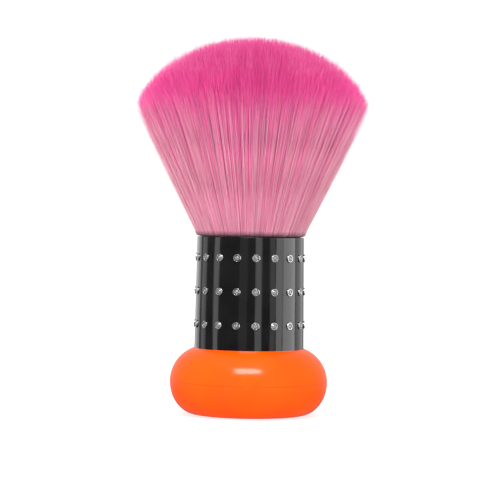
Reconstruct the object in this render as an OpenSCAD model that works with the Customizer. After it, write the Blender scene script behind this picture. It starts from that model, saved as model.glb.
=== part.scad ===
// Standing neck duster brush: a flared tuft of fibres in a round handle tube, on a weighted rounded foot.
// Millimetres. +Z is up along the brush's axis, z = 0 is the surface it stands on, -Y is its front.

/* [Foot] */

// Widest radius of the rounded foot
foot_radius = 23.6; // [18:0.1:32]
// Radius of the rounding above the parting line
foot_round = 10.6; // [7:0.1:14]
// Width of the tighter rounding below the parting line
foot_low_round = 7.9; // [4:0.1:12]
// Wall thickness of both foot shells
foot_wall = 1.9; // [1.2:0.1:3]
// Height of the parting line between the two shells
parting_height = 10.1; // [6:0.1:14]
// Width and depth of the bevel on each shell's edge at the parting line
parting_bevel = 0.3; // [0.1:0.05:0.8]
// Radius of the foam pad on the underside
pad_radius = 13.4; // [10:0.1:15]
// Thickness of the foam pad
pad_thickness = 1.0; // [0.6:0.1:2]
// How far the pad stands out below the foot
pad_proud = 0.25; // [0.1:0.05:1]

/* [Handle tube] */

// Outer radius of the tube at its mouth
tube_top_radius = 15.95; // [12:0.05:20]
// Outer radius of the tube at its lower end
tube_bottom_radius = 16.4; // [12:0.05:20]
// Wall thickness of the tube
tube_wall = 1.2; // [0.8:0.1:2]
// Height of the tube's mouth
tube_top = 53.4; // [45:0.1:80]
// Depth of the socket in the foot that the tube stands in
socket_depth = 1.2; // [0.6:0.1:2.5]

/* [Stones] */

// Stones around the tube in each ring
stone_count = 18; // [8:1:30]
// Turn of the first stone from the front, towards +X, in degrees
stone_phase = 6.2; // [0:0.1:20]
// Height of the middle ring of stones
stone_height = 37.3; // [30:0.1:50]
// Distance from one ring to the next
stone_pitch = 9.95; // [6:0.05:14]
// Outer radius of a stone's metal rim
rim_radius = 1.15; // [0.7:0.05:1.8]
// Height that a rim stands out from the tube
rim_proud = 0.35; // [0.15:0.05:0.8]
// Radius of the stone inside its rim
stone_radius = 0.82; // [0.5:0.02:1.4]
// Facets around each stone
stone_facets = 8; // [6:1:12]

/* [Tuft] */

// Height of the top of the tuft
tuft_top = 112.6; // [90:0.1:150]
// Widest radius of the tuft
tuft_radius = 33.9; // [25:0.1:45]
// Height at which the tuft is widest
shoulder_height = 91.6; // [80:0.1:110]
// Outward slope of the tuft's side, radius per millimetre of height
flare_slope = 0.505; // [0.2:0.005:0.8]
// Radius of the tuft just above the tube's mouth
tuft_neck_radius = 16.3; // [14:0.1:20]
// Shape of the dome: 2 is a half ellipse, less is more pointed
dome_power = 1.7; // [1.3:0.05:2.4]
// Radius of the fibre bundle inside its cup
bundle_radius = 13.7; // [10:0.1:16]

/* [Inside the handle] */

// Height of the cup's floor
cup_floor = 40.4; // [36:0.1:48]
// Height of the cup's rim, below the tube's mouth
cup_top = 51.6; // [46:0.1:54]
// Wall thickness of the cup
cup_wall = 0.7; // [0.5:0.1:1.5]
// Thickness of the potting resin on the cup's floor
resin_thickness = 3.4; // [2:0.1:6]
// Turns of thread around the bundle
binding_turns = 4; // [2:1:8]
// Radius of the binding thread
thread_radius = 0.4; // [0.2:0.05:0.8]
// Radius of the core's screw boss
boss_radius = 4.5; // [3.5:0.1:6]
// Ribs between the core's two flanges
core_ribs = 6; // [3:1:8]

/* [Foot's inner pieces] */

// Outer radius of the steel ring
weight_radius = 16.0; // [12:0.1:18]
// Thickness of the steel ring
weight_thickness = 6.0; // [3:0.1:8]
// Radius of the screw's shank over its thread
screw_radius = 1.5; // [1:0.1:2.5]
// Length of the screw under its head
screw_length = 13.0; // [8:0.5:16]

/* [Hidden] */

fit_gap = 0.1; // clearance between two pieces that go together
cut_over = 1; // how far a cutting tool runs past the surface it cuts
arc_steps = 24; // flats along a quarter of a rounded profile
$fn = 96;

// foot
foot_bottom = pad_proud;
foot_floor = foot_bottom + 2.1;
foot_top = parting_height + foot_round;
ring_radius = foot_radius - foot_round;
low_ring_radius = foot_radius - foot_low_round;
lip_height = 1.6;
lip_thickness = 0.9;
lip_root = 2;
socket_lip = parting_height + sqrt(pow(foot_round, 2) - pow(tube_bottom_radius - ring_radius, 2));
socket_floor = socket_lip - socket_depth;
roof_thickness = 1.8;
lower_boss_radius = 6.0;
lower_boss_top = 6.6;
counterbore_radius = 4.2;
counterbore_top = 4.4;
weight_hole = lower_boss_radius + 0.3;
hold_down_radius = 9.6;
hold_down_wall = 1.3;
core_hole = boss_radius + 0.15;

// handle
tube_bottom = socket_floor;
tube_length = tube_top - tube_bottom;
draft = atan((tube_bottom_radius - tube_top_radius) / tube_length);
core_radius = tube_top_radius - tube_wall - 2 * fit_gap;
core_flange = 2.0;
core_top = cup_floor;
boss_bottom = lower_boss_top + 0.3;
column_radius = 6.0;
rib_thickness = 1.6;
cup_radius = tube_top_radius - tube_wall - fit_gap;
cup_floor_thickness = 1.0;
resin_bottom = cup_floor + cup_floor_thickness;
resin_top = resin_bottom + resin_thickness;

// stones
seat_depth = 0.45;
stone_seat = 0.15;
stone_girdle = 0.2;
stone_crown = 0.32;
table_share = 0.5;

// tuft
neck_height = tube_top + 1.4;
mouth_radius = tube_top_radius - tube_wall - 0.05;
binding_height = resin_top + 1.2;
binding_groove = 2 * thread_radius + 0.05;

// screw
head_radius = 2.8;
head_height = 1.9;
washer_radius = 3.6;
washer_thickness = 0.6;
thread_pitch = 1.1;
thread_depth = 0.35;
screw_top = counterbore_top + screw_length;
cross_width = 0.8;
cross_length = 3.2;

// One node's name, or all

// Outer radius of the tube at a height
function tube_radius(z) = tube_top_radius
  + (tube_bottom_radius - tube_top_radius) * (tube_top - z) / tube_length;

// Radius of the tuft's dome at a share of the way from the shoulder to the top
function dome_radius(t) = tuft_radius * sqrt(max(0, 1 - pow(t, dome_power)));

// Radius of the tuft's straight side at a height
function side_radius(z) = tuft_neck_radius + 0.45 + flare_slope * (z - neck_height - 0.6);

// Points of the tuft's outline from the tube's mouth to the top
function flare_points() = [
  [mouth_radius, tube_top - 0.2], [mouth_radius + 0.35, tube_top + 0.25],
  [tuft_neck_radius - 0.55, tube_top + 0.65], [tuft_neck_radius, neck_height]
];
function side_points(from, to, steps) =
  [for (i = [0 : steps]) let (z = from + (to - from) * i / steps) [side_radius(z), z]];
function shoulder_points(low) =
  let (r0 = side_radius(low), h = shoulder_height - low)
  [for (i = [1 : 8]) let (a = i * 90 / 8)
    [r0 + (tuft_radius - r0) * sin(a), low + h * (0.55 * i / 8 + 0.45 * (1 - cos(a)))]];
function dome_points() =
  [for (i = [1 : arc_steps]) let (s = 1 - i / arc_steps, t = 1 - s * s)
    [i == arc_steps ? 0 : dome_radius(t), shoulder_height + (tuft_top - shoulder_height) * t]];

// Places a shape made along +Z on the tube's surface at every stone of one ring
module around_tube(z) {
  for (i = [0 : stone_count - 1])
    rotate([0, 0, stone_phase - 90 + i * 360 / stone_count])
      translate([tube_radius(z), 0, z])
        rotate([0, 90 - draft, 0])
          children();
}

// Heights of the rings of stones, lowest first
function ring_height(k) = stone_height + (k - 1) * stone_pitch;

// Half section of the foot above the parting line, with its surface moved in by a wall
module upper_section(wall, top) {
  intersection() {
    union() {
      translate([ring_radius, parting_height]) circle(r = foot_round - wall);
      square([ring_radius, top]);
    }
    translate([0, parting_height]) square([foot_radius + cut_over, top - parting_height]);
  }
}

// Half section of the foot below the parting line, with its surface moved in by a wall
module lower_section(wall, bottom) {
  width = foot_low_round - wall;
  height = parting_height - foot_bottom - wall;
  intersection() {
    union() {
      translate([low_ring_radius, parting_height]) scale([width / height, 1]) circle(r = height);
      translate([0, bottom]) square([low_ring_radius, parting_height]);
    }
    translate([0, bottom]) square([foot_radius + cut_over, parting_height - bottom]);
  }
}

// Bevel tool for the outer edge of both shells at the parting line
module parting_groove() {
  translate([foot_radius, parting_height]) rotate(45) square(parting_bevel * sqrt(2), center = true);
}

// Flared tuft of fibres, from the resin in its cup to the domed top
module bristle_tuft() {
  low = shoulder_height - 3.4;
  color([0.88, 0.40, 0.62])
    difference() {
      rotate_extrude()
        polygon(concat(
          [[0, resin_top], [bundle_radius, resin_top], [bundle_radius, cup_top + 0.3]],
          flare_points(), side_points(neck_height + 0.6, low, 6), shoulder_points(low), dome_points()));
      translate([0, 0, binding_height])
        rotate_extrude()
          translate([bundle_radius - binding_groove, 0])
            square([binding_groove + cut_over, 2 * thread_radius * binding_turns + 2 * fit_gap]);
    }
}

// Thread wound round the fibres where they enter the cup
module root_binding() {
  color([0.90, 0.88, 0.82])
    for (i = [0 : binding_turns - 1])
      translate([0, 0, binding_height + fit_gap + thread_radius * (2 * i + 1)])
        rotate_extrude()
          translate([bundle_radius - thread_radius, 0]) circle(r = thread_radius - 0.005);
}

// Resin that the fibre roots are set in
module root_resin() {
  color([0.85, 0.75, 0.50])
    translate([0, 0, resin_bottom]) cylinder(r = cup_radius - cup_wall - 0.02, h = resin_thickness);
}

// Cup that holds the bundle, inside the tube's mouth
module tuft_cup() {
  color([0.80, 0.80, 0.82])
    difference() {
      translate([0, 0, cup_floor]) cylinder(r = cup_radius, h = cup_top - cup_floor);
      translate([0, 0, resin_bottom]) cylinder(r = cup_radius - cup_wall, h = cup_top);
    }
}

// Outer tube, with a shallow flat seat for every stone's rim
module handle_tube() {
  edge = 0.25;
  inner_top = tube_top_radius - tube_wall;
  inner_bottom = tube_bottom_radius - tube_wall;
  color([0.03, 0.03, 0.035])
    difference() {
      rotate_extrude()
        polygon([
          [inner_bottom, tube_bottom], [tube_bottom_radius, tube_bottom],
          [tube_radius(tube_top - edge), tube_top - edge], [tube_top_radius - edge, tube_top],
          [inner_top + edge, tube_top], [inner_top, tube_top - edge]
        ]);
      for (k = [0 : 2])
        around_tube(ring_height(k))
          translate([0, 0, -seat_depth]) cylinder(r = rim_radius + 0.03, h = seat_depth + cut_over);
    }
}

// Spool inside the tube: two flanges, a column with ribs, and the screw boss below
module handle_core() {
  color([0.10, 0.10, 0.11])
    difference() {
      union() {
        translate([0, 0, socket_floor]) cylinder(r = core_radius, h = core_flange);
        translate([0, 0, core_top - core_flange]) cylinder(r = core_radius, h = core_flange);
        translate([0, 0, socket_floor]) cylinder(r = column_radius, h = core_top - socket_floor);
        translate([0, 0, boss_bottom]) cylinder(r = boss_radius, h = socket_floor - boss_bottom + cut_over);
        for (i = [0 : core_ribs - 1])
          rotate([0, 0, i * 360 / core_ribs])
            translate([column_radius - 1, -rib_thickness / 2, socket_floor + core_flange / 2])
              cube([core_radius - column_radius, rib_thickness, core_top - socket_floor - core_flange]);
      }
      translate([0, 0, boss_bottom - cut_over])
        cylinder(r = screw_radius + 0.02, h = screw_top + 1.5 - boss_bottom + cut_over);
      translate([0, 0, screw_top + 3])
        cylinder(r = column_radius - 1.6, h = core_top - screw_top - 3 + cut_over);
    }
}

// One ring of metal rims, each a small cup let into the tube
module settings(k) {
  color([0.80, 0.80, 0.82])
    around_tube(ring_height(k))
      rotate_extrude()
        polygon([
          [0, -seat_depth], [rim_radius, -seat_depth], [rim_radius, rim_proud - 0.12],
          [rim_radius - 0.12, rim_proud], [stone_radius + 0.06, rim_proud],
          [stone_radius + 0.02, rim_proud - 0.1], [stone_radius + 0.02, -stone_seat], [0, -stone_seat]
        ]);
}

// One ring of stones: a round girdle under a faceted crown with a flat table
module crystals(k) {
  color([0.92, 0.94, 0.97, 0.6])
    around_tube(ring_height(k))
      translate([0, 0, -stone_seat])
        rotate([0, 0, 180 / stone_facets]) {
          cylinder(r = stone_radius, h = stone_girdle + 0.1, $fn = stone_facets);
          translate([0, 0, stone_girdle + 0.1])
            cylinder(r1 = stone_radius, r2 = stone_radius * table_share, h = stone_crown, $fn = stone_facets);
        }
}

// Upper shell of the foot: rounded shoulder, socket for the tube, ring that holds the weight down
module base_upper() {
  roof = socket_floor - roof_thickness;
  hold_down = foot_floor + weight_thickness + fit_gap;
  color([1.0, 0.42, 0.05])
    difference() {
      union() {
        rotate_extrude()
          difference() {
            upper_section(0, (socket_lip + foot_top) / 2);
            upper_section(foot_wall, roof);
            parting_groove();
          }
        translate([0, 0, hold_down])
          difference() {
            cylinder(r = hold_down_radius, h = roof + fit_gap - hold_down);
            translate([0, 0, -cut_over])
              cylinder(r = hold_down_radius - hold_down_wall, h = roof - hold_down + cut_over);
          }
      }
      translate([0, 0, socket_floor]) cylinder(r = tube_bottom_radius + 0.05, h = foot_top);
      translate([0, 0, roof - cut_over]) cylinder(r = core_hole, h = foot_top);
    }
}

// Lower shell of the foot: dished, with a locating lip, screw boss and a recess for the pad
module base_lower() {
  inner_radius = foot_radius - foot_wall;
  lip_radius = ring_radius + sqrt(pow(foot_round - foot_wall, 2) - pow(lip_height, 2)) - fit_gap;
  color([1.0, 0.36, 0.06])
    difference() {
      union() {
        rotate_extrude()
          difference() {
            lower_section(0, foot_bottom);
            lower_section(foot_wall, foot_floor);
            parting_groove();
          }
        rotate_extrude()
          translate([0, parting_height])
            polygon([
              [lip_radius - lip_thickness, -lip_root], [inner_radius + 0.4, -lip_root],
              [inner_radius + 0.4, 0], [lip_radius, 0], [lip_radius, lip_height],
              [lip_radius - lip_thickness, lip_height]
            ]);
        translate([0, 0, foot_floor - cut_over])
          cylinder(r = lower_boss_radius, h = lower_boss_top - foot_floor + cut_over);
      }
      translate([0, 0, -cut_over]) cylinder(r = pad_radius + fit_gap, h = pad_thickness + cut_over);
      cylinder(r = counterbore_radius, h = counterbore_top);
      cylinder(r = screw_radius + 0.3, h = parting_height);
    }
}

// Steel ring around the lower shell's boss
module base_weight() {
  bevel = 0.6;
  color([0.55, 0.56, 0.58])
    translate([0, 0, foot_floor])
      rotate_extrude()
        polygon([
          [weight_hole, 0], [weight_radius - bevel, 0], [weight_radius, bevel],
          [weight_radius, weight_thickness - bevel], [weight_radius - bevel, weight_thickness],
          [weight_hole, weight_thickness]
        ]);
}

// Self-tapping screw, head down, with a ridged shank and a cross recess
module core_screw() {
  neck = 0.6;
  tip = 1.6;
  turns = floor((screw_length - neck - tip) / thread_pitch);
  root_radius = screw_radius - thread_depth;
  head_top = counterbore_top - washer_thickness;
  shank_top = head_top + washer_thickness + neck;
  color([0.62, 0.63, 0.66])
    difference() {
      rotate_extrude()
        polygon(concat(
          [[0, head_top - head_height], [head_radius - 0.9, head_top - head_height],
           [head_radius, head_top - 0.8], [head_radius, head_top], [screw_radius, head_top],
           [screw_radius, shank_top]],
          [for (i = [0 : turns - 1], s = [0, 1])
            [s == 0 ? root_radius : screw_radius, shank_top + (i + (s + 1) / 2) * thread_pitch]],
          [[0, screw_top]]));
      for (a = [0, 90])
        rotate([0, 0, a])
          translate([-cross_length / 2, -cross_width / 2, head_top - head_height - cut_over])
            cube([cross_length, cross_width, cut_over + 1.1]);
    }
}

// Washer between the screw's head and the lower shell
module screw_washer() {
  color([0.70, 0.71, 0.73])
    translate([0, 0, counterbore_top - washer_thickness])
      difference() {
        cylinder(r = washer_radius, h = washer_thickness);
        translate([0, 0, -cut_over]) cylinder(r = screw_radius + 0.1, h = washer_thickness + 2 * cut_over);
      }
}

// Foam disc that the brush stands on
module foot_pad() {
  color([0.20, 0.08, 0.05])
    cylinder(r = pad_radius, h = pad_thickness);
}

bristle_tuft();
root_binding();
root_resin();
tuft_cup();
handle_tube();
handle_core();
settings(0);  // settings_lower
settings(1);  // settings_middle
settings(2);  // settings_upper
crystals(0);  // crystals_lower
crystals(1);  // crystals_middle
crystals(2);  // crystals_upper
base_upper();
base_lower();
base_weight();
core_screw();
screw_washer();
foot_pad();
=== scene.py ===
"""Neck duster brush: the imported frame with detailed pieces, procedural materials, lights and a camera."""
import math

import bpy
import numpy as np
from mathutils import Matrix, Vector


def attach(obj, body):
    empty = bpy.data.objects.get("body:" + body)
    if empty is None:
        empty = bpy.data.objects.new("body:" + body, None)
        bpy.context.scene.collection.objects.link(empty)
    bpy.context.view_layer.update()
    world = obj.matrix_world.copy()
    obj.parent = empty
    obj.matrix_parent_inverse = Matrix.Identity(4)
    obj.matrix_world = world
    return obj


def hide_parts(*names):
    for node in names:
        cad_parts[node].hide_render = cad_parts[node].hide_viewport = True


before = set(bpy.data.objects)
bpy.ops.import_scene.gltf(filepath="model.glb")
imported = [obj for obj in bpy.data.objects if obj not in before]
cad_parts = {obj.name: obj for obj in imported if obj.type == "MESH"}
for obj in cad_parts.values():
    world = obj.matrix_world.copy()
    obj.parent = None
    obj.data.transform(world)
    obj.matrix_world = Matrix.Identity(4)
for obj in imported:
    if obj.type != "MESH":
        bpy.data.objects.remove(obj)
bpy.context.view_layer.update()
rng = np.random.default_rng(20)
MM = 0.001

# ---------------------------------------------------------------- sizes, in millimetres, as in the CAD source
FOOT_R, FOOT_ROUND, FOOT_LOW_ROUND, FOOT_WALL = 23.6, 10.6, 7.9, 1.9
PARTING, FOOT_BOTTOM, FOOT_FLOOR, ROOF_T = 10.1, 0.25, 2.35, 1.8
LIP_H, LIP_T, LIP_ROOT, FIT_GAP = 1.6, 0.9, 2.0, 0.1
BOSS_R, BOSS_TOP, SCREW_HOLE_R = 6.0, 6.6, 1.8
COUNTERBORE_R, COUNTERBORE_TOP, CORE_HOLE_R = 4.2, 4.4, 4.65
PAD_R, PAD_T = 13.4, 1.0
TUBE_R0, TUBE_R1, TUBE_WALL, TUBE_TOP = 15.95, 16.4, 1.2, 53.4
RING_R = FOOT_R - FOOT_ROUND
LOW_RING_R = FOOT_R - FOOT_LOW_ROUND
SOCKET_LIP = PARTING + math.sqrt(FOOT_ROUND ** 2 - (TUBE_R1 - RING_R) ** 2)
SOCKET_DEPTH, SOCKET_PLAY = 1.2, 0.05
SOCKET_FLOOR = SOCKET_LIP - SOCKET_DEPTH
TUBE_LEN = TUBE_TOP - SOCKET_FLOOR
DRAFT = math.atan((TUBE_R1 - TUBE_R0) / TUBE_LEN)
STONES, STONE_PHASE, STONE_Z, STONE_PITCH = 18, 6.2, 37.3, 9.95
RIM_R, RIM_PROUD, RIM_EDGE, SEAT_DEPTH = 1.15, 0.35, 0.12, 0.45
STONE_R, STONE_PROUD, STONE_SEAT, FACETS = 0.82, 0.47, 0.15, 8
TUFT_TOP, TUFT_R, SHOULDER_Z, FLARE = 112.6, 33.9, 91.6, 0.505
NECK_Z, NECK_R, RESIN_TOP = 54.8, 16.3, 44.8

# ---------------------------------------------------------------- sizes that only the visual model has
# bevel of each shell at the parting line, finer than the CAD's
BEVEL = 0.10
# heights and radii of the tuft's outline, from the resin to just above the tube's mouth
MOUTH_Z = [RESIN_TOP, TUBE_TOP - 1.8, TUBE_TOP + 0.05, TUBE_TOP + 0.35, TUBE_TOP + 0.8, NECK_Z + 0.6]
MOUTH_R = [13.55, 13.7, 14.8, 16.0, 16.4, NECK_R + 0.5]
# how far the curve of the rounded top stands past the CAD's top and radius, because uneven tips fall short,
# and the power of that curve
PEAK_OVER, SHOULDER_OVER, DOME_POWER = 0.5, 0.8, 1.6
# how far tips fall short, how much they vary by fibre and by lock, and the strays' share and most extra length
TIP_SHORT, TIP_SPREAD, LOCK_TIP_SPREAD, STRAY_SHARE, STRAY_LENGTH = 0.35, 0.45, 0.12, 0.03, 1.0
# fibres in the dense body, paler fibres in the thin veil at its surface, and locks that they gather in
BODY, VEIL, LOCKS = 34000, 2700, 6500
# share of the tuft's radius that the body fills, and the share past which the veil stands
BODY_SHARE, VEIL_SHARE = 0.955, 0.9
# fibres nearer the axis than this share don't show at the mouth
DEEP_SHARE = 0.80
BODY_FIBRE_R, VEIL_FIBRE_R = 0.070, 0.026
# length over which a fibre tapers, and the share of its thickness left at the tip
TAPER, TIP_SHARE = 9.0, 0.22
# how unevenly the fibres stand, in radians and as a share of the tuft's radius
ANGLE_SPREAD, SHARE_SPREAD = 0.02, 0.006
# the most that fibres are drawn to the middle of their lock, as a share of the way, and the veil's part of that
LOCK_PULL, VEIL_PULL = 0.10, 0.2
# how much fibres drift sideways and bow, as shares of the tuft's radius, and the height they do most of it in
WANDER, BOW, BEND_HEIGHT = 0.011, 0.010, 46.0
# broad streaks of tone round the tuft, and how much of a lock's tone is the streak's and how much its own
STREAKS, STREAK_TONE, LOCK_TONE = 70, 0.55, 0.45
# where the shade at the tube's mouth begins and is full, in millimetres down from the top of the tuft
MOUTH_SHADE = (57.4, 58.6)
# bands of dye, from the bottom up, the heights between them, and how much those vary by fibre
BANDS = ("root", "low", "middle", "shoulder", "crown")
BAND_CUTS, CUT_SPREAD = [66.0, 79.0, 91.0, 101.0], 1.6
# about the most triangles that one piece of the tuft has
PIECE_TRIANGLES = 190000
# the dye's colour down a fibre, where 0 is the top of the tuft and 1 is DYE_LENGTH below it;
# the veil and the tips are paler, and are closer to FADED by these shares
# the veil's paleness is partly a lighter dye and partly painted light, the glow of light through its thin fibres
# at the tuft's edges
VEIL_PALE_DYE_AND_GLOW, BODY_FADE, TIP_FADE = (0.75, 1.0), (0, 0.14), 0.45
DYE_LENGTH = 60.0
DYE = [(0.06, (0.81, 0.040, 0.30)), (0.24, (0.90, 0.070, 0.375)), (0.42, (0.92, 0.086, 0.375)),
       (0.70, (0.93, 0.130, 0.40)), (1.0, (0.89, 0.165, 0.41))]
FADED = [(0.06, (0.80, 0.25, 0.48)), (0.24, (0.84, 0.42, 0.58)), (0.42, (0.90, 0.50, 0.61)),
         (0.70, (0.93, 0.54, 0.62)), (1.0, (0.90, 0.52, 0.60))]


def tube_radius(z):
    """Outer radius of the handle tube at a height."""
    return TUBE_R0 + (TUBE_R1 - TUBE_R0) * (TUBE_TOP - z) / TUBE_LEN


# ---------------------------------------------------------------- mesh helpers
def mesh_object(name, verts, faces, smooth=True):
    """An object from vertices in millimetres and faces that all have the same number of corners."""
    verts, faces = np.asarray(verts, np.float32) * MM, np.asarray(faces, np.int32)
    me = bpy.data.meshes.new(name)
    me.vertices.add(len(verts))
    me.vertices.foreach_set("co", verts.ravel())
    corners = faces.shape[1]
    me.loops.add(faces.size)
    me.loops.foreach_set("vertex_index", faces.ravel())
    me.polygons.add(len(faces))
    me.polygons.foreach_set("loop_start", np.arange(0, faces.size, corners, dtype=np.int32))
    me.update(calc_edges=True)
    me.polygons.foreach_set("use_smooth", np.full(len(faces), smooth))
    me.validate()
    ob = bpy.data.objects.new(name, me)
    bpy.context.scene.collection.objects.link(ob)
    return ob


def arc(cx, cz, rx, rz, a0, a1, n):
    """Points of an elliptic arc from angle a0 to a1, in degrees from the outward direction."""
    return [(cx + rx * math.cos(math.radians(a)), cz + rz * math.sin(math.radians(a)))
            for a in np.linspace(a0, a1, n)]


def rounded(points, radii, n=5):
    """A closed profile with the corners named in radii rounded: {index: radius}."""
    out = []
    for i, p in enumerate(points):
        r = radii.get(i)
        if not r:
            out.append(p)
            continue
        p, a, b = Vector(p), Vector(points[i - 1]), Vector(points[(i + 1) % len(points)])
        u, v = (a - p).normalized(), (b - p).normalized()
        half = u.angle(v) / 2
        back = min(r / math.tan(half), 0.45 * (a - p).length, 0.45 * (b - p).length)
        r = back * math.tan(half)
        centre = p + (u + v).normalized() * (r / math.sin(half))
        s, e = p + u * back - centre, p + v * back - centre
        turn = s.angle_signed(e)
        for k in range(n):
            q = s.copy()
            q.rotate(Matrix.Rotation(-turn * k / (n - 1), 2))
            out.append(tuple(centre + q))
    return out


def spun(profile, segments, closed=True):
    """Vertices and faces of a profile of (radius, height) turned about Z, closed into a loop or left open."""
    p = np.array(profile, float)
    a = np.linspace(0, 2 * np.pi, segments, endpoint=False)
    verts = np.stack([np.outer(np.cos(a), p[:, 0]), np.outer(np.sin(a), p[:, 0]),
                      np.broadcast_to(p[:, 1], (segments, len(p)))], axis=-1).reshape(-1, 3)
    steps = len(p) if closed else len(p) - 1
    i, j = np.meshgrid(np.arange(segments), np.arange(steps), indexing="ij")
    i2, j2 = (i + 1) % segments, (j + 1) % len(p)
    faces = np.stack([i * len(p) + j, i2 * len(p) + j, i2 * len(p) + j2, i * len(p) + j2], axis=-1)
    return verts, faces.reshape(-1, 4)


def turned(name, profile, segments=256):
    """An object from a closed profile of (radius, height) turned about Z."""
    return mesh_object(name, *spun([(max(r, 1e-4), z) for r, z in profile], segments))


def around_tube(k):
    """Matrices that put a shape made along +Z on the tube, one for each stone of ring k."""
    z = STONE_Z + (k - 1) * STONE_PITCH
    for i in range(STONES):
        yield (Matrix.Rotation(math.radians(STONE_PHASE - 90 + i * 360 / STONES), 4, "Z")
               @ Matrix.Translation((tube_radius(z), 0, z))
               @ Matrix.Rotation(math.pi / 2 - DRAFT, 4, "Y"))


def repeated(name, verts, faces, places, smooth=True):
    """One mesh holding a copy of the shape at every place."""
    verts, faces = np.asarray(verts, float), np.asarray(faces)
    all_verts, all_faces = [], []
    for n, place in enumerate(places):
        m = np.array(place)
        all_verts.append(verts @ m[:3, :3].T + m[:3, 3])
        all_faces.append(faces + n * len(verts))
    return mesh_object(name, np.concatenate(all_verts), np.concatenate(all_faces), smooth)


# ---------------------------------------------------------------- materials
class Nodes:
    """A material's node tree, with short ways to add the nodes used here."""

    def __init__(self, name, **constants):
        self.mat = bpy.data.materials.new(name)
        self.mat.use_nodes = True
        self.tree = self.mat.node_tree
        self.shader = self.tree.nodes["Principled BSDF"]
        for socket, value in constants.items():
            self.shader.inputs[socket.replace("_", " ")].default_value = value
        self.coords = self.tree.nodes.new("ShaderNodeTexCoord").outputs["Object"]

    def give(self, target, value):
        """Link a socket to this input, or set it to a plain value."""
        if isinstance(value, bpy.types.NodeSocket):
            self.tree.links.new(value, target)
        else:
            target.default_value = value

    def node(self, kind, **sockets):
        n = self.tree.nodes.new("ShaderNode" + kind)
        for key, value in sockets.items():
            self.give(n.inputs[key.replace("_", " ")], value)
        return n

    def stretched(self, scale):
        return self.node("Mapping", Vector=self.coords, Scale=scale).outputs[0]

    def noise(self, scale, detail=3.0, rough=0.5, vector=None, distortion=0.0):
        return self.node("TexNoise", Vector=vector or self.coords, Scale=scale, Detail=detail,
                         Roughness=rough, Distortion=distortion).outputs["Fac"]

    def attribute(self, name):
        n = self.tree.nodes.new("ShaderNodeAttribute")
        n.attribute_type, n.attribute_name = "GEOMETRY", name
        return n.outputs["Fac"]

    def maths(self, operation, a, b):
        n = self.tree.nodes.new("ShaderNodeMath")
        n.operation = operation
        self.give(n.inputs[0], a)
        self.give(n.inputs[1], b)
        return n.outputs[0]

    def ranged(self, value, low, high, to_low, to_high):
        return self.node("MapRange", Value=value, From_Min=low, From_Max=high, To_Min=to_low,
                         To_Max=to_high).outputs[0]

    def ramp(self, value, stops):
        n = self.node("ValToRGB", Fac=value)
        elements = n.color_ramp.elements
        while len(elements) < len(stops):
            elements.new(0.5)
        for item, (position, colour) in zip(elements, stops):
            item.position, item.color = position, (*colour, 1)
        return n.outputs[0]

    def mixed(self, share, a, b, blend="MIX"):
        """Colour a, with this share of colour b in it."""
        n = self.tree.nodes.new("ShaderNodeMix")
        n.data_type, n.blend_type = "RGBA", blend
        self.give(n.inputs[0], share)
        for index, colour in ((6, a), (7, b)):
            self.give(n.inputs[index], (*colour, 1) if isinstance(colour, tuple) else colour)
        return n.outputs[2]

    def bump(self, height, strength, distance, normal=None):
        n = self.node("Bump", Height=height, Strength=strength, Distance=distance)
        if normal:
            self.tree.links.new(normal, n.inputs["Normal"])
        return n.outputs[0]

    def feed(self, **sockets):
        """Link these sockets to the shader, and give the finished material."""
        for key, value in sockets.items():
            self.tree.links.new(value, self.shader.inputs[key.replace("_", " ")])
        return self.mat


def orange_plastic():
    """Glossy moulded plastic with a cloudy tone, slight orange peel and faint lines round it."""
    n = Nodes("orange_gloss_plastic", IOR=1.5, Specular_IOR_Level=0.36)
    cloud, grain = n.noise(90, 4), n.noise(1500, 2)
    colour = n.mixed(n.ranged(cloud, 0.35, 0.65, 0, 1), (0.97, 0.076, 0.0004), (1.0, 0.088, 0.0004))
    colour = n.mixed(n.ranged(grain, 0.3, 0.7, 0, 0.15), colour, (0.93, 0.064, 0.0004))
    smear = n.noise(60, 5, 0.6, n.stretched((1, 1, 0.35)), 1.5)
    rough = n.maths("ADD", n.ranged(smear, 0.3, 0.7, 0.14, 0.19), n.ranged(grain, 0.3, 0.7, 0, 0.03))
    peel = n.bump(n.noise(420, 2), 0.05, 0.00010)
    scratch = n.noise(300, 6, 0.7, n.stretched((1, 1, 14)), 0.6)
    return n.feed(Base_Color=colour, Roughness=rough, Normal=n.bump(scratch, 0.05, 0.00006, peel))


def black_plastic():
    """Glossy drawn tube with faint lines along its length."""
    n = Nodes("black_gloss_plastic", IOR=1.5)
    cloud = n.noise(160, 4)
    colour = n.mixed(n.ranged(cloud, 0.35, 0.65, 0, 1), (0.003, 0.003, 0.0034), (0.0055, 0.0055, 0.006))
    smear = n.noise(120, 6, 0.6, n.stretched((1, 1, 0.3)), 1.0)
    rough = n.ranged(smear, 0.3, 0.7, 0.05, 0.12)
    drawn = n.noise(900, 3, 0.6, n.stretched((1, 1, 0.03)))
    broad = n.noise(260, 2, 0.5, n.stretched((1, 1, 0.06)))
    lines = n.bump(drawn, 0.22, 0.00006, n.bump(broad, 0.16, 0.00025))
    return n.feed(Base_Color=colour, Roughness=rough, Normal=lines)


def polished_metal(name, colour, rough):
    """Plated metal with fine spots."""
    n = Nodes(name, Metallic=1.0)
    spots = n.noise(2600, 3)
    tint = n.mixed(n.ranged(spots, 0.3, 0.7, 0, 1), tuple(0.86 * c for c in colour), colour)
    roughness = n.ranged(n.noise(1800, 4), 0.3, 0.7, rough * 0.6, rough * 1.5)
    return n.feed(Base_Color=tint, Roughness=roughness, Normal=n.bump(n.noise(5200, 3), 0.15, 0.00002))


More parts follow.
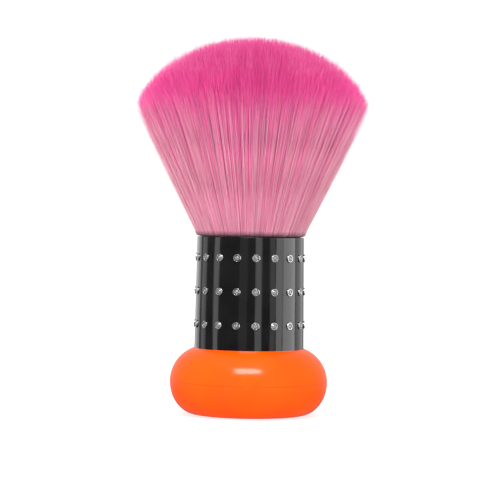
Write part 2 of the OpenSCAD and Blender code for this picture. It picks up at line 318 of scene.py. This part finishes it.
def crystal():
    """Clear stone over a bright foil, with a slight cold and warm tint."""
    n = Nodes("foiled_crystal", IOR=1.56, Transmission_Weight=0.85)
    tint = n.mixed(n.ranged(n.noise(700, 2), 0.3, 0.7, 0, 1), (0.90, 0.93, 0.98), (0.98, 0.97, 0.94))
    return n.feed(Base_Color=tint, Roughness=n.ranged(n.noise(2400, 3), 0.3, 0.7, 0.02, 0.10))


def brushed_metal(name, colour, stretch, rough=0.35):
    """Machined metal, with lines that run across the axes of the largest stretch."""
    n = Nodes(name, Metallic=1.0)
    lines = n.noise(700, 5, 0.65, n.stretched(stretch))
    tint = n.mixed(n.ranged(lines, 0.3, 0.7, 0, 1), tuple(0.8 * c for c in colour), colour)
    roughness = n.ranged(n.noise(150, 4), 0.3, 0.7, rough * 0.75, rough * 1.3)
    return n.feed(Base_Color=tint, Roughness=roughness, Normal=n.bump(lines, 0.2, 0.00004))


def matte_plastic(name, dark, light, rough=0.5, scale=900):
    """Dull grained surface between two tones, for plastic, resin and foam."""
    n = Nodes(name, IOR=1.5)
    grain = n.noise(scale, 4)
    colour = n.mixed(n.ranged(n.noise(scale / 6, 4), 0.3, 0.7, 0, 1), dark, light)
    roughness = n.ranged(grain, 0.3, 0.7, rough * 0.8, min(1.0, rough * 1.25))
    return n.feed(Base_Color=colour, Roughness=roughness, Normal=n.bump(grain, 0.35, 0.00008))


def twisted_thread():
    """Waxed thread with the ridges of its twist."""
    n = Nodes("waxed_thread")
    twist = n.node("TexWave", Vector=n.stretched((1, 1, 0.6)), Scale=900, Distortion=2.0).outputs["Fac"]
    colour = n.mixed(twist, (0.62, 0.58, 0.47), (0.84, 0.80, 0.70))
    roughness = n.ranged(n.noise(1500), 0.3, 0.7, 0.6, 0.85)
    return n.feed(Base_Color=colour, Roughness=roughness, Normal=n.bump(twist, 0.6, 0.0001))


def fibre():
    """Dip-dyed synthetic fibre: deep at the crown and pale at the mouth, and no two fibres quite alike."""
    n = Nodes("dyed_fibre", IOR=1.5)
    down, tone, lock, fade = [n.attribute(name) for name in ("down", "tone", "lock", "fade")]
    # how far the dye has run down this fibre, in millimetres from the top of the tuft
    spread = n.maths("ADD", n.ranged(lock, 0.1, 0.9, 8, -8), n.ranged(tone, 0, 1, -4, 4))
    run = n.maths("DIVIDE", n.maths("ADD", down, spread), DYE_LENGTH)
    # each fibre's share of FADED; in the veil this is partly painted light, the glow through its thin fibres at
    # the tuft's edges
    colour = n.mixed(fade, n.ramp(run, DYE), n.ramp(run, FADED))
    # darker tones, and the shade between the fibres where they enter the tube
    depth = n.ranged(n.maths("ADD", tone, lock), 0, 2, 1.0, 0.90)
    shade = n.maths("MULTIPLY", depth, n.ranged(down, *MOUTH_SHADE, 1.0, 0.4))
    grey = n.node("CombineColor", Red=shade, Green=shade, Blue=shade).outputs[0]
    colour = n.mixed(1.0, colour, grey, "MULTIPLY")
    return n.feed(Base_Color=colour, Roughness=n.ranged(tone, 0, 1, 0.36, 0.6))


# ---------------------------------------------------------------- tuft
def side_radius(z):
    """Outer radius of the tuft as it would be without its dome."""
    z = np.asarray(z, float)
    flared = MOUTH_R[-1] + FLARE * (z - MOUTH_Z[-1])
    return np.where(z < MOUTH_Z[-1], np.interp(z, MOUTH_Z, MOUTH_R), flared)


def tip_height(share):
    """Height at which a fibre of this share of the tuft's radius meets the rounded top."""
    peak = TUFT_TOP + PEAK_OVER
    z = np.linspace(80, peak, 800)
    t = np.clip((z - SHOULDER_Z) / (peak - SHOULDER_Z), 0, 1)
    top = (TUFT_R + SHOULDER_OVER) * np.sqrt(np.maximum(0, 1 - t ** DOME_POWER))
    reach = np.minimum(top / side_radius(z), 1.0)
    return np.interp(share, reach[::-1], z[::-1])


def nearest(points, centres, batch=1000):
    """For each point, the number of the centre closest to it."""
    owner = np.empty(len(points), int)
    for start in range(0, len(points), batch):
        away = points[start:start + batch, None] - centres
        owner[start:start + batch] = np.argmin((away ** 2).sum(axis=2), axis=1)
    return owner


def strand_mesh(name, strands, wanted, verts, facts):
    """A piece of the tuft: the wanted stretches of these strands, as open three-sided tubes."""
    strand, ring = np.nonzero(wanted[strands])
    first = ((strands[strand] * (wanted.shape[1] + 1) + ring) * 3)[:, None]
    side, next_side = np.arange(3), np.array([1, 2, 0])
    quads = np.stack([first + side, first + next_side, first + 3 + next_side, first + 3 + side], axis=-1)
    used, quads = np.unique(quads.reshape(-1, 4), return_inverse=True)
    ob = mesh_object(name, verts[used], quads.reshape(-1, 4))
    for key, values in facts.items():
        layer = ob.data.attributes.new(key, "FLOAT", "POINT")
        layer.data.foreach_set("value", values[used].astype(np.float32))
    return ob


def bristles():
    """The tuft: thin strands from the resin to the rounded top, in pieces that each hold one band of dye.

    A dense body of fibres comes first, then a thin veil of paler ones at its surface, which softens the outline.
    """
    total = BODY + VEIL
    share = np.concatenate([BODY_SHARE * np.sqrt((np.arange(BODY) + 0.5) / BODY),
                            np.sqrt(rng.uniform(VEIL_SHARE ** 2, 1, VEIL))])
    angle = np.arange(total) * math.pi * (3 - math.sqrt(5)) + rng.normal(0, ANGLE_SPREAD, total)
    share = np.clip(share + rng.normal(0, SHARE_SPREAD, total), 0, 1)
    at = np.stack([share * np.cos(angle), share * np.sin(angle)], axis=-1)
    veiled = np.arange(total) >= BODY

    # locks: fibres lean a little towards the middle of their lock as they rise
    lock_share, lock_angle = np.sqrt(rng.random(LOCKS)), rng.random(LOCKS) * 2 * np.pi
    middle = np.stack([lock_share * np.cos(lock_angle), lock_share * np.sin(lock_angle)], axis=-1)
    owner = nearest(at, middle)
    pull = rng.uniform(0, LOCK_PULL, LOCKS)[owner] * rng.uniform(0.5, 1.2, total)
    pull = pull * np.where(veiled, VEIL_PULL, 1.0)
    # locks that stand side by side share some of their tone, in broad streaks round the tuft
    streak = np.interp(lock_angle, np.linspace(0, 2 * np.pi, STREAKS), rng.random(STREAKS), period=2 * np.pi)
    lock_tone = (STREAK_TONE * streak + LOCK_TONE * rng.random(LOCKS))[owner]
    tone = rng.random(total)
    wander, bow = rng.normal(0, WANDER, (total, 2)), rng.normal(0, BOW, (total, 2))
    spin = rng.random(total) * 2 * np.pi

    # uneven tips, with a few fibres standing out
    tip = tip_height(share) - TIP_SHORT + rng.normal(0, TIP_SPREAD, total)
    tip += rng.normal(0, LOCK_TIP_SPREAD, LOCKS)[owner]
    tip += np.where(rng.random(total) < STRAY_SHARE, rng.uniform(0, STRAY_LENGTH, total), 0)

    # every strand's ring heights, one row each, and the band that the stretch above each ring belongs to
    cuts = np.array(BAND_CUTS) + rng.normal(0, CUT_SPREAD, (total, len(BAND_CUTS)))
    below_tip = tip[:, None] - np.array([8.0, 1.2, 0.0])
    z = np.concatenate([np.broadcast_to(MOUTH_Z, (total, len(MOUTH_Z))), cuts, below_tip], axis=1)
    z = np.sort(np.minimum(z, tip[:, None]), axis=1)
    # strands deep in the tuft need fewer rings at the mouth
    deep = share < DEEP_SHARE
    z[deep, 1:3], z[deep, 3:6] = TUBE_TOP, MOUTH_Z[-1]
    band = (z[:, :-1, None] + 0.01 > cuts[:, None]).sum(axis=2)
    real = np.diff(z, axis=1) > 0.08

    # how pale each strand is, and its tip; the veil's paleness is partly painted light
    fade = np.where(veiled, rng.uniform(*VEIL_PALE_DYE_AND_GLOW, total), rng.uniform(*BODY_FADE, total))
    fade = fade[:, None] + np.zeros(z.shape)
    fade[:, -1] += TIP_FADE

    # the strands' courses, then three corners round each ring
    up = np.clip((z - TUBE_TOP) / BEND_HEIGHT, 0, 1.4)[..., None]
    lean = pull[:, None, None] * 0.6 * up ** 1.3
    xy = at[:, None] * (1 - lean) + middle[owner][:, None] * lean
    xy = (xy + wander[:, None] * up + bow[:, None] * up * (1.2 - up)) * side_radius(z)[..., None]
    taper = np.clip(TIP_SHARE + (tip[:, None] - z) / TAPER, TIP_SHARE, 1.0)
    thick = (np.where(veiled, VEIL_FIBRE_R, BODY_FIBRE_R)[:, None] * taper)[..., None]
    turn = spin[:, None, None] + np.arange(3) * 2 * np.pi / 3
    verts = np.stack([xy[..., 0, None] + thick * np.cos(turn), xy[..., 1, None] + thick * np.sin(turn),
                      np.broadcast_to(z[..., None], z.shape + (3,))], axis=-1).reshape(-1, 3)
    rings = z.shape[1]
    facts = {"down": TUFT_TOP - np.repeat(z.ravel(), 3), "tone": np.repeat(tone, rings * 3),
             "lock": np.repeat(lock_tone, rings * 3), "fade": np.repeat(np.clip(fade, 0, 1).ravel(), 3)}

    made = []
    around = np.argsort(angle % (2 * np.pi))
    for number, name in enumerate(BANDS):
        wanted = real & (band == number)
        parts = math.ceil(wanted.sum() * 6 / PIECE_TRIANGLES)
        for part, strands in enumerate(np.array_split(around, parts)):
            made.append(strand_mesh(f"fibres_{name}_{part + 1}", strands, wanted, verts, facts))
    return made


# ---------------------------------------------------------------- rigid pieces
def handle_tube():
    """The tube, with its lower edge and both edges of its mouth rounded."""
    inner0, inner1 = TUBE_R0 - TUBE_WALL, TUBE_R1 - TUBE_WALL
    corners = [(inner1, SOCKET_FLOOR), (TUBE_R1, SOCKET_FLOOR), (TUBE_R0, TUBE_TOP), (inner0, TUBE_TOP)]
    return turned("handle_tube_smooth", rounded(corners, {1: 0.2, 2: 0.16, 3: 0.3}, 7))


def foot_upper():
    """Upper shell: rounded shoulder, socket for the tube and hole for the core's boss."""
    roof = SOCKET_FLOOR - ROOF_T
    inner = FOOT_ROUND - FOOT_WALL
    start = math.degrees(math.asin(BEVEL / FOOT_ROUND))
    lip = math.degrees(math.asin((SOCKET_LIP - PARTING) / FOOT_ROUND))
    roof_angle = math.degrees(math.asin((roof - PARTING) / inner))
    outside = arc(RING_R, PARTING, FOOT_ROUND, FOOT_ROUND, start, lip, 40)
    inside = arc(RING_R, PARTING, inner, inner, roof_angle, 0, 16)
    socket = [(TUBE_R1 + SOCKET_PLAY, SOCKET_FLOOR), (CORE_HOLE_R, SOCKET_FLOOR), (CORE_HOLE_R, roof)]
    points = [(FOOT_R - BEVEL, PARTING)] + outside + socket + inside
    return turned("foot_upper_shell", rounded(points, {0: 0.04, 1: 0.08, len(outside): 0.28}, 6))


def foot_lower():
    """Lower shell: dished, with a locating lip, a screw boss and a recess for the pad."""
    outer_h = PARTING - FOOT_BOTTOM
    inner_h = outer_h - FOOT_WALL
    inner_w = FOOT_LOW_ROUND - FOOT_WALL
    end = math.degrees(math.asin(BEVEL / outer_h))
    floor_angle = math.degrees(math.asin((PARTING - FOOT_FLOOR) / inner_h))
    outside = arc(LOW_RING_R, PARTING, FOOT_LOW_ROUND, outer_h, -90, -end, 40)
    inside = arc(LOW_RING_R, PARTING, inner_w, inner_h, 0, -floor_angle, 14)
    lip_r = RING_R + math.sqrt((FOOT_ROUND - FOOT_WALL) ** 2 - LIP_H ** 2) - FIT_GAP
    recess = [(PAD_R + FIT_GAP, PAD_T), (PAD_R + FIT_GAP, FOOT_BOTTOM)]
    lip = [(FOOT_R - BEVEL, PARTING), (lip_r, PARTING), (lip_r, PARTING + LIP_H),
           (lip_r - LIP_T, PARTING + LIP_H), (lip_r - LIP_T, PARTING - LIP_ROOT),
           (inside[3][0], PARTING - LIP_ROOT)]
    dish = [p for p in inside if p[1] < PARTING - LIP_ROOT]
    boss = [(BOSS_R, FOOT_FLOOR), (BOSS_R, BOSS_TOP), (SCREW_HOLE_R, BOSS_TOP),
            (SCREW_HOLE_R, COUNTERBORE_TOP), (COUNTERBORE_R, COUNTERBORE_TOP), (COUNTERBORE_R, PAD_T)]
    last = 1 + len(outside)
    points = recess + outside + lip + dish + boss
    return turned("foot_lower_shell", rounded(points, {1: 0.1, last: 0.08, last + 1: 0.04}, 6))


def rims(k):
    """Ring k of metal rims, each a cup with a rounded edge."""
    well = STONE_R + 0.02
    corners = [(0.3, -SEAT_DEPTH), (RIM_R, -SEAT_DEPTH), (RIM_R, RIM_PROUD - RIM_EDGE),
               (RIM_R - RIM_EDGE, RIM_PROUD), (STONE_R + 0.06, RIM_PROUD), (well, RIM_PROUD - 0.1),
               (well, -STONE_SEAT), (0.001, -STONE_SEAT)]
    verts, faces = spun(rounded(corners, {2: 0.06, 3: 0.06, 4: 0.05}, 4), 28, closed=False)
    return repeated(f"stone_rims_{k + 1}", verts, faces, around_tube(k))


def stones(k):
    """Ring k of round-cut stones: girdle, a lower and an upper ring of facets, and an eight-sided table."""
    # radius, height, and turn as a share of one facet
    rings = [(0.30, -0.13, 0), (STONE_R, 0.06, 0), (STONE_R, 0.14, 0), (STONE_R * 0.80, 0.31, 0.5),
             (STONE_R * 0.46, STONE_PROUD, 0)]
    n = FACETS
    verts = [(r * math.cos((i + s) * 2 * math.pi / n), r * math.sin((i + s) * 2 * math.pi / n), z)
             for r, z, s in rings for i in range(n)]
    tris = []
    for a in range(len(rings) - 1):
        for i in range(n):
            j = (i + 1) % n
            p, q, r, s = a * n + i, a * n + j, (a + 1) * n + j, (a + 1) * n + i
            tris += [(p, q, s), (q, r, s)] if rings[a + 1][2] >= rings[a][2] else [(p, q, r), (p, r, s)]
    top = (len(rings) - 1) * n
    tris += [(top, top + i, top + i + 1) for i in range(1, n - 1)]
    tris += [(0, i + 1, i) for i in range(1, n - 1)]
    return repeated(f"stones_{k + 1}", verts, tris, around_tube(k), smooth=False)


def pad():
    """The foam disc on the underside, with its lower edge rounded."""
    corners = [(0.0, PAD_T), (0.0, 0.0), (PAD_R, 0.0), (PAD_R, PAD_T)]
    return turned("foot_pad_foam", rounded(corners, {2: 0.2}, 4), 128)


def dress(ob, material, slot, *nodes):
    """Give a piece its material and its body, and hide the CAD nodes it stands for. The slot is not used."""
    ob.data.materials.append(material)
    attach(ob, "root")
    if nodes:
        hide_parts(*nodes)
    return ob


orange, black, hair = orange_plastic(), black_plastic(), fibre()
chrome, glass = polished_metal("rim_chrome", (0.62, 0.63, 0.66), 0.26), crystal()
foam = matte_plastic("foam_pad", (0.03, 0.02, 0.02), (0.07, 0.05, 0.05), 0.9, 1600)
tuft = bristles()
dress(tuft[0], hair, "fibre", "bristle_tuft")
for ob in tuft[1:]:
    dress(ob, hair, "fibre")
handle = [dress(handle_tube(), black, "black_gloss", "handle_tube")]
foot = [dress(foot_upper(), orange, "orange_gloss", "base_upper"),
        dress(foot_lower(), orange, "orange_gloss", "base_lower")]
# the tube and the rims don't mirror the foot
for ob in foot:
    ob.visible_glossy = False
for k, name in enumerate(("lower", "middle", "upper")):
    handle.append(dress(rims(k), chrome, "silver_rim", f"settings_{name}"))
    handle.append(dress(stones(k), glass, "crystal", f"crystals_{name}"))
dress(pad(), foam, "foam_pad", "foot_pad")

# the CAD nodes that stay
inner = {
    "root_binding": twisted_thread(),
    "root_resin": matte_plastic("amber_resin", (0.50, 0.34, 0.12), (0.66, 0.50, 0.22), 0.2, 500),
    "tuft_cup": brushed_metal("cup_aluminium", (0.80, 0.80, 0.82), (1, 1, 12)),
    "handle_core": matte_plastic("core_plastic", (0.022, 0.022, 0.024), (0.04, 0.04, 0.042), 0.45),
    "base_weight": brushed_metal("weight_steel", (0.50, 0.51, 0.53), (6, 6, 1), 0.42),
    "core_screw": brushed_metal("screw_steel", (0.62, 0.63, 0.65), (1, 1, 8), 0.3),
    "screw_washer": brushed_metal("washer_steel", (0.64, 0.65, 0.66), (8, 1, 1), 0.3),
}
for name, material in inner.items():
    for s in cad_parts[name].material_slots:
        s.link = "OBJECT"
        s.material = material

# ---------------------------------------------------------------- studio
# half the floor's width, in millimetres
HALF = 3000
corners = [(-HALF, -HALF, 0), (HALF, -HALF, 0), (HALF, HALF, 0), (-HALF, HALF, 0)]
floor = mesh_object("floor", corners, [(0, 1, 2, 3)], False)
fm = Nodes("studio_floor", Roughness=0.9, Emission_Color=(1, 1, 1, 1), Emission_Strength=0.72)
cloud = fm.ranged(fm.noise(3, 3), 0.3, 0.7, 0, 1)
floor.data.materials.append(fm.feed(Base_Color=fm.mixed(cloud, (0.34, 0.34, 0.34), (0.38, 0.38, 0.38))))
floor.visible_glossy = floor.visible_transmission = False


def softbox(name, bearing, elevation, distance, width, height, radiance, aim=50, only=None):
    """An area light at this bearing (0 is the front, 90 the right), aimed at a height on the brush's axis.

    Angles are in degrees and sizes in metres, apart from aim, which is in millimetres. Where only is given,
    the light falls on those pieces and nothing else.
    """
    data = bpy.data.lights.new(name, "AREA")
    data.shape, data.size, data.size_y = "RECTANGLE", width, height
    data.energy = radiance * math.pi * width * height
    ob = bpy.data.objects.new(name, data)
    bpy.context.scene.collection.objects.link(ob)
    a, e = math.radians(bearing), math.radians(elevation)
    away = Vector((math.sin(a) * math.cos(e), -math.cos(a) * math.cos(e), math.sin(e)))
    ob.location = Vector((0, 0, aim * MM)) + away * distance
    ob.rotation_euler = away.to_track_quat("Z", "Y").to_euler()
    ob.visible_camera = False
    if only:
        ob.light_linking.receiver_collection = bpy.data.collections.new(f"{name}_lights")
        for item in only:
            ob.light_linking.receiver_collection.objects.link(item)
    return ob


softbox("key_top", -2, 45, 1.2, 0.70, 0.34, 15)
softbox("overhead", -60, 78, 1.2, 1.3, 1.3, 1.3).visible_glossy = False
# upright reflections in the tube, the rims and the stones
softbox("side_right_front", 65, 5, 0.9, 0.25, 0.9, 2.3, only=handle)
softbox("side_right", 93, 5, 0.9, 0.62, 0.9, 3.1, only=handle)
softbox("behind_right", 133, 5, 0.9, 0.62, 0.9, 0.75, only=handle)
softbox("side_left", -76, 5, 0.9, 0.22, 0.9, 1.7, only=handle)
softbox("behind_left", -147, 5, 0.9, 0.5, 0.9, 0.9, only=handle)
softbox("left_ramp", -114, 5, 0.9, 0.26, 0.9, 0.8, only=handle)
softbox("right_ramp", 49, 5, 0.9, 0.20, 0.9, 0.8, only=handle)
softbox("strip_front", 18.5, 3, 1.1, 0.26, 0.9, 1.5, only=handle)
softbox("card_front", -14, 3, 1.1, 0.35, 0.9, 0.25, only=handle)
# fill and edge light for the tuft
softbox("tuft_front", -20, -8, 0.9, 0.9, 0.6, 1.5, 80, only=tuft)
softbox("rim_left", -125, -10, 0.9, 0.7, 0.9, 3.2, 75, only=tuft)
softbox("rim_right", 125, -10, 0.9, 0.7, 0.9, 2.4, 75, only=tuft)

# brightness of the white world: what the camera sees, what dull surfaces get, and what gloss reflects,
# which is dim at the front and below, and brighter behind
SEEN, FILL = 1.05, 1.15
scene = bpy.context.scene
world = bpy.data.worlds.new("studio")
scene.world = world
world.use_nodes = True
sky = world.node_tree
link = sky.links.new
axes = sky.nodes.new("ShaderNodeSeparateXYZ")
link(sky.nodes.new("ShaderNodeTexCoord").outputs["Generated"], axes.inputs[0])
path = sky.nodes.new("ShaderNodeLightPath")


def along(axis, low, high, to_low, to_high):
    """A brightness from to_low to to_high, as the direction's part along an axis goes from low to high."""
    n = sky.nodes.new("ShaderNodeMapRange")
    for key, value in (("From Min", low), ("From Max", high), ("To Min", to_low), ("To Max", to_high)):
        n.inputs[key].default_value = value
    link(axes.outputs[axis], n.inputs["Value"])
    return n.outputs[0]


def either(test, no, yes):
    """A brightness that is yes for one kind of ray and no for the others."""
    n = sky.nodes.new("ShaderNodeMix")
    link(path.outputs[test], n.inputs[0])
    for index, value in ((2, no), (3, yes)):
        if isinstance(value, bpy.types.NodeSocket):
            link(value, n.inputs[index])
        else:
            n.inputs[index].default_value = value
    return n.outputs[0]


gloss = sky.nodes.new("ShaderNodeMath")
gloss.operation = "MULTIPLY"
link(along("Y", 0.15, 0.9, 0.15, 0.45), gloss.inputs[0])
link(along("Z", -0.25, 0.02, 0.35, 1.0), gloss.inputs[1])
background = sky.nodes["Background"]
background.inputs["Color"].default_value = (1, 1, 1, 1)
unseen = either("Is Glossy Ray", FILL, gloss.outputs[0])
link(either("Is Camera Ray", unseen, SEEN), background.inputs["Strength"])
scene.view_settings.view_transform = "Standard"
scene.view_settings.look = "None"

# ---------------------------------------------------------------- camera, in metres and degrees
AWAY, EYE, AIM, ASIDE = 0.62, 0.057, 0.0495, -0.00015
FRAME_WIDTH, SENSOR_WIDTH, ROLL = 0.150, 36, 0.9
cam_data = bpy.data.cameras.new("camera")
cam = bpy.data.objects.new("camera", cam_data)
scene.collection.objects.link(cam)
cam.location = (ASIDE, -AWAY, EYE)
look = Vector((ASIDE, 0, AIM)) - cam.location
level = look.to_track_quat("-Z", "Y").to_matrix()
cam.rotation_euler = (level @ Matrix.Rotation(math.radians(ROLL), 3, "Z")).to_euler()
cam_data.sensor_width = SENSOR_WIDTH
cam_data.lens = SENSOR_WIDTH * look.length / FRAME_WIDTH
cam_data.clip_start, cam_data.clip_end = 0.01, 50
scene.camera = cam
